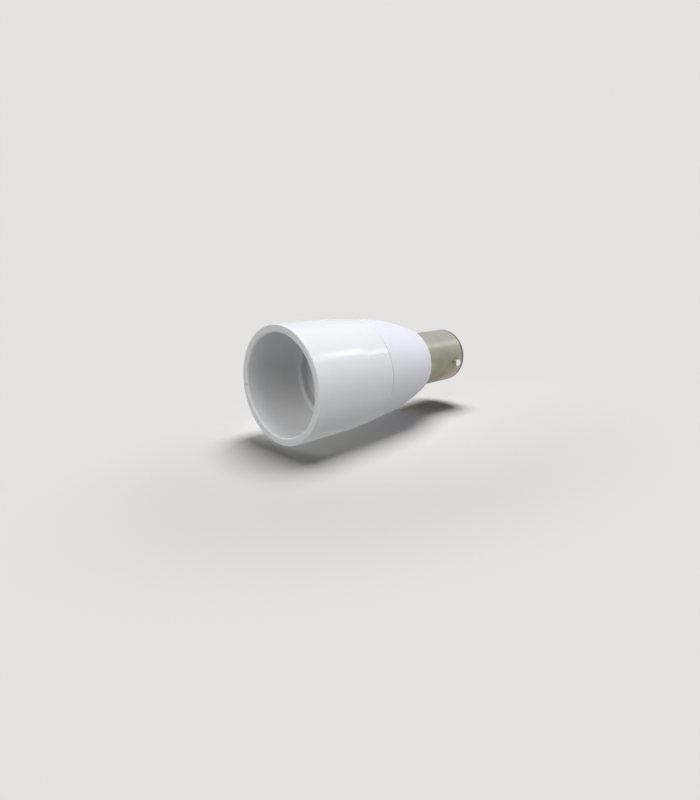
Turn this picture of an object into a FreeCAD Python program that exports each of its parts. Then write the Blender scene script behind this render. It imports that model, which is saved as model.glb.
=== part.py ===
import FreeCAD, Part
import math
import os
import re
import Sketcher

# Lamp socket adapter: a small screw-base lamp goes into the mouth, a two-contact bayonet cap plugs into
# the holder. Millimetres. It stands on its mouth: the origin is the centre of the mouth's plane, and +Z
# runs along the axis towards the cap. The bayonet pins lie on Y, the two end contacts on X.

doc = FreeCAD.newDocument("lamp_socket_adapter")
up = FreeCAD.Vector(0, 0, 1)

# Driving dimensions. Radii are built outwards from the lamp thread and from the cap, by walls and clearances
sizes = [
    # front housing: sleeve, band and inner lip
    ("sleeve_length", 17.8, "mouth to the step"),
    ("sleeve_wall", 1.85, "wall of the sleeve at the mouth"),
    ("sleeve_taper", 0.1, "how much the sleeve narrows from the mouth to the step"),
    ("step_depth", 0.15, "how far the band stands below the sleeve"),
    ("shoulder_length", 0.4, "length of the rounded step"),
    ("shoulder_round", 0.45, "radius of the rounded step"),
    ("band_length", 6.7, "step to the seam"),
    ("band_wall", 1.8, "wall of the band at the seam"),
    ("band_taper", 0.4, "how much the band narrows from the step to the seam"),
    ("seam_gap", 0.1, "open joint between the two housings"),
    ("seam_round", 0.2, "edge radius on both sides of the seam"),
    ("rim_round", 0.25, "outer edge radius of the mouth"),
    ("rim_chamfer", 0.3, "inner chamfer of the mouth"),
    ("bore_draft", 0.3, "how much the bore narrows down to the ledge"),
    ("ledge_setback", 2.1, "ledge in front of the step"),
    ("ledge_round", 0.3, "radius in the corner of the ledge"),
    ("lip_hold", 1.05, "how far the lip reaches in front of the insert"),
    ("lip_thickness", 1.7, "lip that holds the insert"),
    ("key_width", 2.8, "key against turning"),
    ("key_height", 0.9, "how far the key stands into the bore"),
    # snap between the housings
    ("snap_height", 0.3, "bead on the spigot"),
    ("snap_width", 0.7, "flat top of the bead"),
    ("snap_setback", 2.4, "seam to the middle of the bead"),
    ("snap_clearance", 0.08, "groove larger than the bead"),
    # rear bell
    ("lap_clearance", 0.05, "spigot in its bore"),
    ("lap_wall", 1.5, "wall of the spigot"),
    ("bell_step", 0.28, "how far the bell stands below the band at the seam"),
    ("bell_face", 1.8, "far face round the cap"),
    ("bell_arc_radius", 58.0, "radius of the bell's long curve"),
    ("bell_end_round", 0.35, "edge radius of the far face"),
    ("bell_wall", 1.9, "wall at the narrow end of the chamber"),
    ("end_wall", 2.5, "thickness of the far wall"),
    ("wiring_room", 7.0, "insert to the far wall"),
    ("passage_room", 0.5, "wire passage beyond the wires"),
    ("rib_width", 1.2, "centring ribs in the bell"),
    ("rib_root", 0.6, "how far the ribs start inside the wall"),
    ("rib_length", 7.0, "centring ribs along the axis"),
    # insulating insert
    ("insert_clearance", 0.15, "insert flange in its bore, insert body between the ribs"),
    ("insert_play", 0.1, "insert flange between lip and spigot"),
    ("insert_room", 0.75, "insert body to the spigot"),
    ("insert_wall", 1.85, "wall round the screw shell"),
    ("flange_thickness", 2.4, "insert flange"),
    ("floor_thickness", 2.6, "insert floor"),
    ("web_thickness", 1.2, "thin floor that the contact leaf passes"),
    # screw shell
    ("thread_pitch", 2.822, "lamp thread"),
    ("thread_minor_radius", 6.2, "inside of the crests"),
    ("thread_depth", 0.8, "crest to root"),
    ("thread_length", 12.6, "formed length"),
    ("thread_flank", 0.75, "axial length of each sloping flank"),
    ("thread_root_flat", 0.9, "width of the roots"),
    ("thread_crest_flat", 0.25, "width of the outer groove's floor, behind each crest"),
    ("groove_overrun", 0.2, "how far a groove's section runs past its mouth"),
    ("sheet_thickness", 0.3, "screw shell sheet"),
    ("collar_length", 0.8, "plain collars of the screw shell"),
    ("flare_width", 0.7, "flared front edge of the screw shell"),
    ("flare_inset", 0.1, "flare behind the insert's face"),
    ("shell_clearance", 0.15, "screw shell in the insert"),
    ("shell_room", 1.1, "screw shell to the insert's floor"),
    ("tab_width", 3.0, "soldering tabs"),
    ("tab_foot", 1.8, "bent end of each tab"),
    ("tab_gap", 0.1, "bent end to the insert's rear face"),
    ("tab_slot_gap", 0.3, "slot wider than the tab"),
    # contact leaf
    ("leaf_width", 4.2, "contact leaf"),
    ("leaf_thickness", 0.35, "contact leaf sheet"),
    ("leaf_offset", 3.9, "leaf root from the axis"),
    ("leaf_rise", 2.0, "leaf apex above the insert floor"),
    ("leaf_bend", 0.6, "inside bends of the leaf"),
    ("leaf_overrun", 2.4, "leaf beyond the axis"),
    ("leaf_curl", 0.3, "how far the free end turns back"),
    ("leaf_slot_gap", 0.15, "slot wider than the leaf"),
    ("leaf_swing_room", 0.5, "slot room for the swing of the tail"),
    ("leaf_recess_gap", 0.8, "recess round the tail and its foot"),
    ("leaf_tail", 0.9, "tail behind the insert"),
    ("leaf_foot", 1.7, "bent end of the tail"),
    # bayonet cap
    ("cap_radius", 7.5, "cap outside"),
    ("cap_wall", 0.35, "cap sheet"),
    ("cap_clearance", 0.03, "cap on its neck"),
    ("cap_seat_depth", 0.8, "groove in the bell for the edge of the cap"),
    ("cap_length", 18.0, "cap in view, far face to rolled end"),
    ("cap_roll", 0.9, "outside radius of the rolled end"),
    ("cap_roll_width", 1.4, "rolled end from the outside to its inner edge"),
    ("pin_radius", 0.95, "bayonet pin"),
    ("pin_stand", 1.1, "pin outside the cap"),
    ("pin_seat", 1.62, "pin inside the neck"),
    ("pin_cover", 1.3, "neck left between a pin and the disc"),
    ("pin_dome", 0.2, "crown and edge of a pin"),
    ("pin_clearance", 0.02, "pin in its holes"),
    # end disc and contacts
    ("disc_thickness", 1.8, "insulating disc under the roll"),
    ("disc_boss", 0.7, "boss through the roll"),
    ("disc_clearance", 0.05, "disc in the cap"),
    ("contact_inset", 4.1, "cap outside to the middle of each end contact"),
    ("eyelet_head_radius", 1.75, "eyelet head"),
    ("eyelet_head", 0.45, "eyelet head height"),
    ("eyelet_wall", 0.4, "eyelet shank"),
    ("eyelet_room", 0.15, "strands in an eyelet"),
    ("solder_height", 0.75, "solder dome on an eyelet"),
    ("solder_radius", 1.35, "solder dome on an eyelet"),
    # wires
    ("wire_radius", 0.7, "over the insulation"),
    ("conductor_radius", 0.4, "bare strands"),
    ("strip_length", 1.4, "bare end at the insert"),
    ("joint_radius", 1.0, "solder joints at the insert"),
    ("joint_lift", 0.35, "middle of the tab's joint above the tab"),
    ("joint_shift", 0.5, "middle of the tab's joint from its wire"),
    ("neck_entry", 1.0, "wires enter the neck"),
    ("neck_run", 5.0, "inside the neck to where the wires lie side by side"),
    ("side_inset", 1.0, "wires in the neck inside the line of the end contacts"),
    ("spread_start", 4.5, "wires start to spread, from the disc"),
    ("spread_end", 2.5, "wires are in line with the eyelets, from the disc"),
    ("cover_gap", 0.3, "insulation to the disc"),
    ("neutral_lead", 1.5, "neutral wire straight out of its joint"),
    ("neutral_shift", 1.5, "neutral wire beside the axis as it enters the neck"),
]
bend_share = 0.45  # a wire's bend takes this share of the shorter run beside it
sheet = doc.addObject("Spreadsheet::Sheet", "Sizes")
for number, (alias, amount, note) in enumerate(sizes, start=1):
    sheet.set("A%d" % number, alias)
    sheet.set("B%d" % number, str(amount))
    sheet.setAlias("B%d" % number, alias)
    sheet.set("C%d" % number, note)
doc.recompute()

# Sizes worked out from the driving ones, as expressions in the same words
derived = {
    "root_radius": "thread_minor_radius + thread_depth",
    "shell_radius": "root_radius + sheet_thickness",
    "shell_bore": "shell_radius + shell_clearance",
    "flare_radius": "shell_radius + flare_width",
    "insert_radius": "shell_bore + insert_wall",
    "spigot_inside": "insert_radius + insert_room",
    "spigot_radius": "spigot_inside + lap_wall",
    "lap_bore_radius": "spigot_radius + lap_clearance",
    "lip_radius": "lap_bore_radius - lip_hold",
    "band_end_radius": "lap_bore_radius + band_wall",
    "band_start_radius": "band_end_radius + band_taper",
    "sleeve_end_radius": "band_start_radius + step_depth",
    "mouth_radius": "sleeve_end_radius + sleeve_taper",
    "bore_radius": "mouth_radius - sleeve_wall",
    "bore_end_radius": "bore_radius - bore_draft",
    "bore_depth": "sleeve_length - ledge_setback",
    "insert_front": "bore_depth + lip_thickness",
    "seam_height": "sleeve_length + band_length",
    "bell_start": "seam_height + seam_gap",
    "bell_start_radius": "band_end_radius - bell_step",
    "bell_end_radius": "cap_radius + bell_face",
    "spigot_front": "insert_front + flange_thickness + insert_play",
    "snap_middle": "seam_height - snap_setback",
    "shell_front": "insert_front + flare_inset",
    "thread_front": "shell_front + collar_length",
    "thread_rear": "thread_front + thread_length",
    "shell_rear": "thread_rear + collar_length",
    "flare_seat": "flare_inset + sheet_thickness + shell_clearance",
    "floor_front": "shell_rear + shell_room",
    "web_rear": "floor_front + web_thickness",
    "insert_rear": "floor_front + floor_thickness",
    "foot_rear": "insert_rear + tab_gap + sheet_thickness",
    "tab_end": "root_radius - tab_foot",
    "leaf_apex": "floor_front - leaf_rise",
    "leaf_end": "leaf_offset - leaf_foot",
    "leaf_rear": "insert_rear + leaf_tail",
    "chamber_end": "insert_rear + wiring_room",
    "bell_end": "chamber_end + end_wall",
    "cap_start": "bell_end - cap_seat_depth",
    "cap_end": "bell_end + cap_length",
    "disc_seat": "cap_end - cap_wall - disc_thickness",
    "disc_face": "disc_seat + disc_thickness + disc_boss",
    "eyelet_top": "disc_face + eyelet_head",
    "neck_radius": "cap_radius - cap_wall - cap_clearance",
    "pin_height": "disc_seat - pin_cover - pin_radius",
    "pin_root": "neck_radius - pin_seat",
    "pin_reach": "cap_radius + pin_stand",
    "contact_offset": "cap_radius - contact_inset",
    "side_offset": "contact_offset - side_inset",
    "passage_radius": "contact_offset + wire_radius + passage_room",
    "eyelet_bore": "conductor_radius + eyelet_room",
    "eyelet_radius": "eyelet_bore + eyelet_wall",
    "wire_start": "leaf_rear + strip_length",
    "live_start": "leaf_end - joint_radius - wire_radius",
    "dome_ball": "(solder_radius ^ 2 + solder_height ^ 2) / (2 * solder_height)",
}
aliases = {alias for alias, amount, note in sizes}
word = re.compile(r"\b[a-z]+(?:_[a-z]+)*\b")


def bound(text):
    # an expression on the sheet, from the plain words used here
    def swap(match):
        name = match.group(0)
        if name in derived:
            return "(" + bound(derived[name]) + ")"
        return "Sizes." + name if name in aliases else name
    return word.sub(swap, text)


def value(text):
    return float(sheet.evalExpression(bound(text)))


def origin_plane(body, role):
    return next(plane for plane in body.Origin.OriginFeatures if plane.Role == role)


def new_body(label):
    body = doc.addObject("PartDesign::Body", label)
    body.Label = label
    return body


def new_sketch(body, name, role, height="0", turn=0.0):
    sketch = body.newObject("Sketcher::SketchObject", name)
    sketch.AttachmentSupport = [(origin_plane(body, role), "")]
    sketch.MapMode = "FlatFace"
    sketch.AttachmentOffset = FreeCAD.Placement(FreeCAD.Vector(), FreeCAD.Rotation(up, turn))
    if height != "0":
        sketch.setExpression("AttachmentOffset.Base.z", bound(height))
    return sketch


def dimension(sketch, kind, name, text, *places):
    index = sketch.addConstraint(Sketcher.Constraint(kind, *places, value(text)))
    sketch.renameConstraint(index, name)
    sketch.setExpression("Constraints." + name, bound(text))


def arc_between(start, end, radius, bulge):
    # arc from start to end; a bulge of 1 bends it to the right of the way from start to end
    chord = end - start
    middle = (start + end) * 0.5
    side = FreeCAD.Vector(chord.y, -chord.x, 0).normalize()
    reach = math.sqrt(max(radius ** 2 - (chord.Length / 2) ** 2, 0.0))
    centre = middle - side * (reach * bulge)
    first, last = (start, end) if bulge > 0 else (end, start)
    angles = [math.atan2(point.y - centre.y, point.x - centre.x) for point in (first, last)]
    circle = Part.Circle(centre, up, radius)
    return Part.ArcOfCircle(circle, angles[0], angles[1])


def place_point(sketch, across, along, geometry, point, ending=""):
    # both dimensions of a point; a word of 0 puts it on the sketch's own axis
    for kind, name, text, axis in (("DistanceX", "across", across, -2), ("DistanceY", "along", along, -1)):
        if text == "0":
            sketch.addConstraint(Sketcher.Constraint("PointOnObject", geometry, point, axis))
        else:
            dimension(sketch, kind, name + ending, text, -1, 1, geometry, point)


def draw_outline(sketch, corners):
    # corners are (across, along) words; a third word is the radius of the arc that arrives there, and a
    # fourth entry of -1 bends that arc inwards
    points = [FreeCAD.Vector(value(corner[0]), value(corner[1]), 0) for corner in corners]
    ends = []
    for number, corner in enumerate(corners):
        start, end = points[number - 1], points[number]
        if len(corner) > 2:
            bulge = corner[3] if len(corner) > 3 else 1
            geometry = sketch.addGeometry(arc_between(start, end, value(corner[2]), bulge))
            dimension(sketch, "Radius", "round_%d" % number, corner[2], geometry)
            ends.append((geometry, 1, 2) if bulge > 0 else (geometry, 2, 1))
        else:
            geometry = sketch.addGeometry(Part.LineSegment(start, end))
            ends.append((geometry, 1, 2))
    for number, corner in enumerate(corners):
        geometry, first, last = ends[number]
        following, next_first, next_last = ends[(number + 1) % len(corners)]
        sketch.addConstraint(Sketcher.Constraint("Coincident", geometry, last, following, next_first))
        place_point(sketch, corner[0], corner[1], geometry, last, "_%d" % number)


def turned(body, name, corners):
    # a piece or a feature turned about the axis, from its half section
    sketch = new_sketch(body, name + "_section", "XZ_Plane")
    draw_outline(sketch, corners)
    feature = body.newObject("PartDesign::Revolution", name)
    feature.Profile = sketch
    feature.ReferenceAxis = (sketch, ["V_Axis"])
    feature.Angle = 360.0
    doc.recompute()
    return feature


def block_feature(body, kind, name, inner, outer, width, height, depth, turn=0.0):
    # a rectangular pad or pocket from inner to outer, measured from the axis along X before the turn
    sketch = new_sketch(body, name + "_sketch", "XY_Plane", height, turn)
    left, right, half = value(inner), value(outer), value(width) / 2
    places = ((left, -half), (right, -half), (right, half), (left, half))
    corners = [FreeCAD.Vector(across, along, 0) for across, along in places]
    for start, end in zip(corners, corners[1:] + corners[:1]):
        sketch.addGeometry(Part.LineSegment(start, end))
    for side in range(4):
        sketch.addConstraint(Sketcher.Constraint("Coincident", side, 2, (side + 1) % 4, 1))
    for side, direction in ((0, "Horizontal"), (2, "Horizontal"), (3, "Vertical")):
        sketch.addConstraint(Sketcher.Constraint(direction, side))
    sketch.addConstraint(Sketcher.Constraint("Symmetric", 1, 1, 1, 2, -1))
    dimension(sketch, "DistanceX", "inner", inner, -1, 1, 0, 1)
    dimension(sketch, "DistanceX", "outer", outer, -1, 1, 0, 2)
    dimension(sketch, "DistanceY", "width", width, 1, 1, 1, 2)
    feature = body.newObject("PartDesign::" + kind, name)
    feature.Profile = sketch
    feature.setExpression("Length", bound(depth))
    # both go up from the sketch: a pad along its normal, a pocket turned round
    feature.Reversed = kind == "Pocket"
    doc.recompute()
    return feature


def round_pocket(body, name, role, across, along, radius, height="0", depth=None, turn=0.0):
    # a round hole: right through both ways, or to a depth along the sketch's normal
    sketch = new_sketch(body, name + "_sketch", role, height, turn)
    place = FreeCAD.Vector(value(across), value(along), 0)
    circle = sketch.addGeometry(Part.Circle(place, up, value(radius)))
    dimension(sketch, "Radius", "hole", radius, circle)
    place_point(sketch, across, along, circle, 3)
    feature = body.newObject("PartDesign::Pocket", name)
    feature.Profile = sketch
    if depth is None:
        feature.Type = "ThroughAll"
        feature.Midplane = True
    else:
        feature.setExpression("Length", bound(depth))
        feature.Reversed = True
    doc.recompute()
    return feature


def box(name, corner, length, width, height):
    piece = doc.addObject("Part::Box", name)
    for side, text in zip(("Length", "Width", "Height"), (length, width, height)):
        piece.setExpression(side, bound(text))
    for axis, text in zip("xyz", corner):
        piece.setExpression("Placement.Base." + axis, bound(text))
    return piece


def shape_object(label, shape):
    piece = doc.addObject("Part::Feature", label)
    piece.Shape = shape
    piece.Placement = FreeCAD.Placement()
    return piece


def rounded_path(points, radius=None):
    # straight runs joined by tangent arcs; without a radius each arc is as large as its runs allow
    edges = []
    reached = points[0]
    for before, corner, after in zip(points, points[1:], points[2:]):
        back, forth = (before - corner), (after - corner)
        half_turn = (math.pi - back.getAngle(forth)) / 2
        cut = radius * math.tan(half_turn) if radius else bend_share * min(back.Length, forth.Length)
        bend = cut / math.tan(half_turn)
        back.normalize()
        forth.normalize()
        start, end = corner + back * cut, corner + forth * cut
        inward = (back + forth).normalize()
        centre = corner + inward * math.hypot(bend, cut)
        edges.append(Part.LineSegment(reached, start).toShape())
        edges.append(Part.Arc(start, centre - inward * bend, end).toShape())
        reached = end
    edges.append(Part.LineSegment(reached, points[-1]).toShape())
    return Part.Wire(edges)


# Front housing: outside from the rim to the seam, then back inside past snap groove, lip and ledge
front_housing = new_body("front_housing")
turned(front_housing, "sleeve", [
    ("bore_radius + rim_chamfer", "0"),
    ("mouth_radius - rim_round", "0"),
    ("mouth_radius", "rim_round", "rim_round"),
    ("sleeve_end_radius", "sleeve_length - shoulder_length"),
    ("band_start_radius", "sleeve_length", "shoulder_round"),
    ("band_end_radius", "seam_height - seam_round"),
    ("band_end_radius - seam_round", "seam_height", "seam_round"),
    ("lap_bore_radius + seam_round", "seam_height"),
    ("lap_bore_radius", "seam_height - seam_round"),
    ("lap_bore_radius", "snap_middle + snap_width / 2 + snap_height + snap_clearance"),
    ("lap_bore_radius + snap_height", "snap_middle + snap_width / 2 + snap_clearance"),
    ("lap_bore_radius + snap_height", "snap_middle - snap_width / 2 - snap_clearance"),
    ("lap_bore_radius", "snap_middle - snap_width / 2 - snap_height - snap_clearance"),
    ("lap_bore_radius", "insert_front"),
    ("lip_radius", "insert_front"),
    ("lip_radius", "bore_depth"),
    ("bore_end_radius - ledge_round", "bore_depth"),
    ("bore_end_radius", "bore_depth - ledge_round", "ledge_round", -1),
    ("bore_radius", "rim_chamfer"),
])
for side, turn in (("near", 0), ("far", 180)):
    block_feature(front_housing, "Pad", "key_" + side, "lap_bore_radius - key_height",
                  "lap_bore_radius + seam_round", "key_width", "insert_front", "flange_thickness", turn)

# Rear bell: long outside curve, seat for the cap, neck, wire passage, chamber and lap spigot
rear_bell = new_body("rear_bell")
turned(rear_bell, "bell", [
    ("bell_start_radius - seam_round", "bell_start"),
    ("bell_start_radius", "bell_start + seam_round", "seam_round"),
    ("bell_end_radius", "bell_end - bell_end_round", "bell_arc_radius"),
    ("bell_end_radius - bell_end_round", "bell_end", "bell_end_round"),
    ("cap_radius + cap_clearance", "bell_end"),
    ("cap_radius + cap_clearance", "cap_start"),
    ("neck_radius", "cap_start"),
    ("neck_radius", "disc_seat - rim_chamfer"),
    ("neck_radius - rim_chamfer", "disc_seat"),
    ("passage_radius", "disc_seat"),
    ("passage_radius", "chamber_end"),
    ("bell_end_radius - bell_wall", "chamber_end"),
    ("spigot_inside", "insert_rear"),
    ("spigot_inside", "spigot_front"),
    ("spigot_radius - rim_chamfer", "spigot_front"),
    ("spigot_radius", "spigot_front + rim_chamfer"),
    ("spigot_radius", "snap_middle - snap_width / 2 - snap_height"),
    ("spigot_radius + snap_height - snap_clearance", "snap_middle - snap_width / 2"),
    ("spigot_radius + snap_height - snap_clearance", "snap_middle + snap_width / 2"),
    ("spigot_radius", "snap_middle + snap_width / 2 + snap_height"),
    ("spigot_radius", "bell_start"),
])
rib = block_feature(rear_bell, "Pad", "rib", "insert_radius + insert_clearance", "spigot_inside + rib_root",
                    "rib_width", "seam_height", "rib_length", 45)
ribs = rear_bell.newObject("PartDesign::PolarPattern", "ribs")
ribs.Originals = [rib]
ribs.Axis = (rib.Profile[0], ["N_Axis"])
ribs.Angle = 360.0
ribs.Occurrences = 4
rear_bell.Tip = ribs
doc.recompute()
round_pocket(rear_bell, "pin_holes", "XZ_Plane", "0", "pin_height", "pin_radius + pin_clearance")

# Insulating insert: flange behind the lip, bore for the screw shell, floor with slots for leaf and tabs
socket_core = new_body("socket_core")
turned(socket_core, "core", [
    ("flare_radius + shell_clearance", "insert_front"),
    ("lap_bore_radius - insert_clearance - seam_round", "insert_front"),
    ("lap_bore_radius - insert_clearance", "insert_front + seam_round"),
    ("lap_bore_radius - insert_clearance", "insert_front + flange_thickness"),
    ("insert_radius", "insert_front + flange_thickness"),
    ("insert_radius", "insert_rear - rim_chamfer"),
    ("insert_radius - rim_chamfer", "insert_rear"),
    ("0", "insert_rear"),
    ("0", "floor_front"),
    ("shell_bore", "floor_front"),
    ("shell_bore", "insert_front + flare_seat"),
    ("flare_radius + shell_clearance", "insert_front + flare_seat"),
])
for side, turn in (("near", 0), ("far", 180)):
    block_feature(socket_core, "Pocket", "key_notch_" + side,
                  "lap_bore_radius - key_height - insert_clearance", "lap_bore_radius + insert_clearance",
                  "key_width + 2 * insert_clearance", "insert_front", "flange_thickness", turn)
    block_feature(socket_core, "Pocket", "tab_slot_" + side, "root_radius - tab_slot_gap",
                  "shell_radius + tab_slot_gap", "tab_width + tab_slot_gap",
                  "floor_front", "floor_thickness", turn + 90)
block_feature(socket_core, "Pocket", "leaf_slot", "leaf_offset - leaf_thickness / 2 - leaf_slot_gap",
              "leaf_offset + leaf_thickness / 2 + leaf_slot_gap + leaf_swing_room",
              "leaf_width + 2 * leaf_slot_gap", "floor_front", "web_thickness")
block_feature(socket_core, "Pocket", "leaf_recess", "leaf_end - leaf_thickness / 2 - leaf_recess_gap",
              "leaf_offset + leaf_thickness / 2 + leaf_recess_gap",
              "leaf_width + leaf_recess_gap", "web_rear", "floor_thickness - web_thickness")

# Screw shell: flared front edge, plain collars, and a thread rolled into the sheet between them. The
# blank is as thick as the formed sheet is high; one helical groove opens the inside, one the outside.
screw_shell = new_body("screw_shell")
turned(screw_shell, "shell_blank", [
    ("flare_radius", "shell_front"),
    ("flare_radius", "shell_front + sheet_thickness"),
    ("shell_radius", "shell_front + sheet_thickness"),
    ("shell_radius", "shell_rear"),
    ("root_radius", "shell_rear"),
    ("root_radius", "thread_rear"),
    ("thread_minor_radius", "thread_rear - thread_flank"),
    ("thread_minor_radius", "thread_front + thread_flank"),
    ("root_radius", "thread_front"),
    ("root_radius", "shell_front"),
])


def helical_groove(body, name, floor_radius, mouth_radius, middle, floor_width, length):
    # a groove with sloping flanks; the section runs a little past the mouth so that it cuts cleanly
    slope = "thread_flank / thread_depth"
    half_mouth = "(%s / 2 + abs(%s - %s) * %s)" % (floor_width, mouth_radius, floor_radius, slope)
    sketch = new_sketch(body, name + "_section", "XZ_Plane")
    draw_outline(sketch, [
        (floor_radius, "%s - %s / 2" % (middle, floor_width)),
        (mouth_radius, "%s - %s" % (middle, half_mouth)),
        (mouth_radius, "%s + %s" % (middle, half_mouth)),
        (floor_radius, "%s + %s / 2" % (middle, floor_width)),
    ])
    groove = body.newObject("PartDesign::SubtractiveHelix", name)
    groove.Profile = sketch
    groove.ReferenceAxis = (sketch, ["V_Axis"])
    groove.Mode = "pitch-height-angle"
    groove.setExpression("Pitch", bound("thread_pitch"))
    groove.setExpression("Height", bound(length))
    groove.LeftHanded = False
    doc.recompute()
    return groove


helical_groove(screw_shell, "inner_groove", "root_radius", "thread_minor_radius - groove_overrun",
               "thread_front - thread_pitch / 2", "thread_root_flat", "thread_length + thread_pitch")
helical_groove(screw_shell, "outer_groove", "thread_minor_radius + sheet_thickness",
               "shell_radius + groove_overrun", "thread_front + thread_pitch", "thread_crest_flat",
               "thread_length - 2 * thread_pitch")
tab_sketch = new_sketch(screw_shell, "tab_section", "YZ_Plane")
draw_outline(tab_sketch, [
    ("root_radius", "shell_rear"),
    ("shell_radius", "shell_rear"),
    ("shell_radius", "foot_rear"),
    ("tab_end", "foot_rear"),
    ("tab_end", "foot_rear - sheet_thickness"),
    ("root_radius", "foot_rear - sheet_thickness"),
])
tab = screw_shell.newObject("PartDesign::Revolution", "tab")
tab.Profile = tab_sketch
tab.ReferenceAxis = (tab_sketch, ["V_Axis"])
tab.setExpression("Angle", bound("tab_width / root_radius") + " * 1 rad")
tab.Midplane = True
tabs = screw_shell.newObject("PartDesign::PolarPattern", "tabs")
tabs.Originals = [tab]
tabs.Axis = (tab_sketch, ["V_Axis"])
tabs.Angle = 360.0
tabs.Occurrences = 2
screw_shell.Tip = tabs
doc.recompute()

# Contact leaf: one strip, foot and tail behind the insert, up through the slot, over the apex to a free end
leaf_middle = [
    ("leaf_end", "leaf_rear"),
    ("leaf_offset", "leaf_rear"),
    ("leaf_offset", "floor_front - leaf_bend"),
    ("0", "leaf_apex"),
    ("-leaf_overrun", "leaf_apex + leaf_curl"),
]
leaf_line = rounded_path([FreeCAD.Vector(value(across), -value("leaf_width") / 2, value(along))
                          for across, along in leaf_middle], radius=value("leaf_bend"))
leaf_side = leaf_line.makeOffset2D(value("leaf_thickness") / 2, 0, False, True)
leaf_face = leaf_side.makeOffset2D(-value("leaf_thickness"), 0, True, True)
contact_leaf = shape_object("contact_leaf", leaf_face.extrude(FreeCAD.Vector(0, value("leaf_width"), 0)))

# Bayonet cap: drawn sleeve, rolled in over the end disc
bayonet_shell = new_body("bayonet_shell")
turned(bayonet_shell, "cap_sleeve", [
    ("cap_radius", "cap_start"),
    ("cap_radius", "cap_end - cap_roll"),
    ("cap_radius - cap_roll", "cap_end", "cap_roll"),
    ("cap_radius - cap_roll_width", "cap_end"),
    ("cap_radius - cap_roll_width", "cap_end - cap_wall"),
    ("cap_radius - cap_roll", "cap_end - cap_wall"),
    ("cap_radius - cap_wall", "cap_end - cap_roll", "cap_roll - cap_wall", -1),
    ("cap_radius - cap_wall", "cap_start"),
])
round_pocket(bayonet_shell, "pin_holes_cap", "XZ_Plane", "0", "pin_height", "pin_radius + pin_clearance")

# Bayonet pins: turned pins that pass the cap and seat in the neck
bayonet_pins = []
for side, turn in (("near", -90), ("far", 90)):
    pin = new_body("bayonet_pin_" + side)
    turned(pin, "pin_" + side, [
        ("0", "pin_root"),
        ("pin_radius - pin_dome", "pin_root"),
        ("pin_radius", "pin_root + pin_dome"),
        ("pin_radius", "pin_reach - pin_dome"),
        ("pin_radius - pin_dome", "pin_reach", "pin_dome"),
        ("0", "pin_reach"),
    ])
    pin.Placement = FreeCAD.Placement(FreeCAD.Vector(), FreeCAD.Rotation(FreeCAD.Vector(1, 0, 0), turn))
    pin.setExpression("Placement.Base.z", bound("pin_height"))
    bayonet_pins.append(pin)

# End disc: seats on the neck, held by the roll, with a boss and two contact holes
cap_insulator = new_body("cap_insulator")
turned(cap_insulator, "disc", [
    ("0", "disc_seat"),
    ("cap_radius - cap_wall - disc_clearance", "disc_seat"),
    ("cap_radius - cap_wall - disc_clearance", "disc_seat + disc_thickness - cap_roll + cap_wall"),
    ("cap_radius - cap_roll - disc_clearance", "disc_seat + disc_thickness - disc_clearance"),
    ("cap_radius - cap_roll_width - disc_clearance", "disc_seat + disc_thickness - disc_clearance"),
    ("cap_radius - cap_roll_width - disc_clearance", "disc_face - rim_chamfer"),
    ("cap_radius - cap_roll_width - disc_clearance - rim_chamfer", "disc_face"),
    ("0", "disc_face"),
])
for side, turn in (("live", 0), ("neutral", 180)):
    round_pocket(cap_insulator, "contact_hole_" + side, "XY_Plane", "contact_offset", "0",
                 "eyelet_radius + pin_clearance", "disc_seat", "disc_thickness + disc_boss", turn)

# Wires: from the joints behind the insert, through the neck, into the eyelets
wire_routes = {
    "live": [
        ("live_start", "0", "wire_start"),
        ("live_start", "0", "chamber_end + neck_entry"),
        ("side_offset", "0", "chamber_end + neck_run"),
        ("side_offset", "0", "disc_seat - spread_start"),
        ("contact_offset", "0", "disc_seat - spread_end"),
        ("contact_offset", "0", "disc_seat - cover_gap"),
    ],
    "neutral": [
        ("0", "tab_end", "wire_start"),
        ("0", "tab_end", "wire_start + neutral_lead"),
        ("-neutral_shift", "neutral_shift", "chamber_end + neck_entry"),
        ("-side_offset", "0", "chamber_end + neck_run"),
        ("-side_offset", "0", "disc_seat - spread_start"),
        ("-contact_offset", "0", "disc_seat - spread_end"),
        ("-contact_offset", "0", "disc_seat - cover_gap"),
    ],
}
wires = {}
for name, route in wire_routes.items():
    points = [FreeCAD.Vector(*[value(text) for text in place]) for place in route]
    path = rounded_path(points)
    section = Part.Wire(Part.Circle(points[0], up, value("wire_radius")).toShape())
    cover = path.makePipeShell([section], True, False)
    lower = Part.makeCylinder(value("conductor_radius"), value("strip_length"),
                              points[0] - up * value("strip_length"))
    upper_length = value("eyelet_top + solder_height / 2") - points[-1].z
    upper = Part.makeCylinder(value("conductor_radius"), upper_length, points[-1])
    wires[name] = shape_object(name + "_wire", cover.fuse([lower, upper]).removeSplitter())
    print(name, "wire", round(path.Length, 1), "mm, bends",
          [round(edge.Curve.Radius, 1) for edge in path.Edges if edge.Curve.TypeId == "Part::GeomCircle"])

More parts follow.
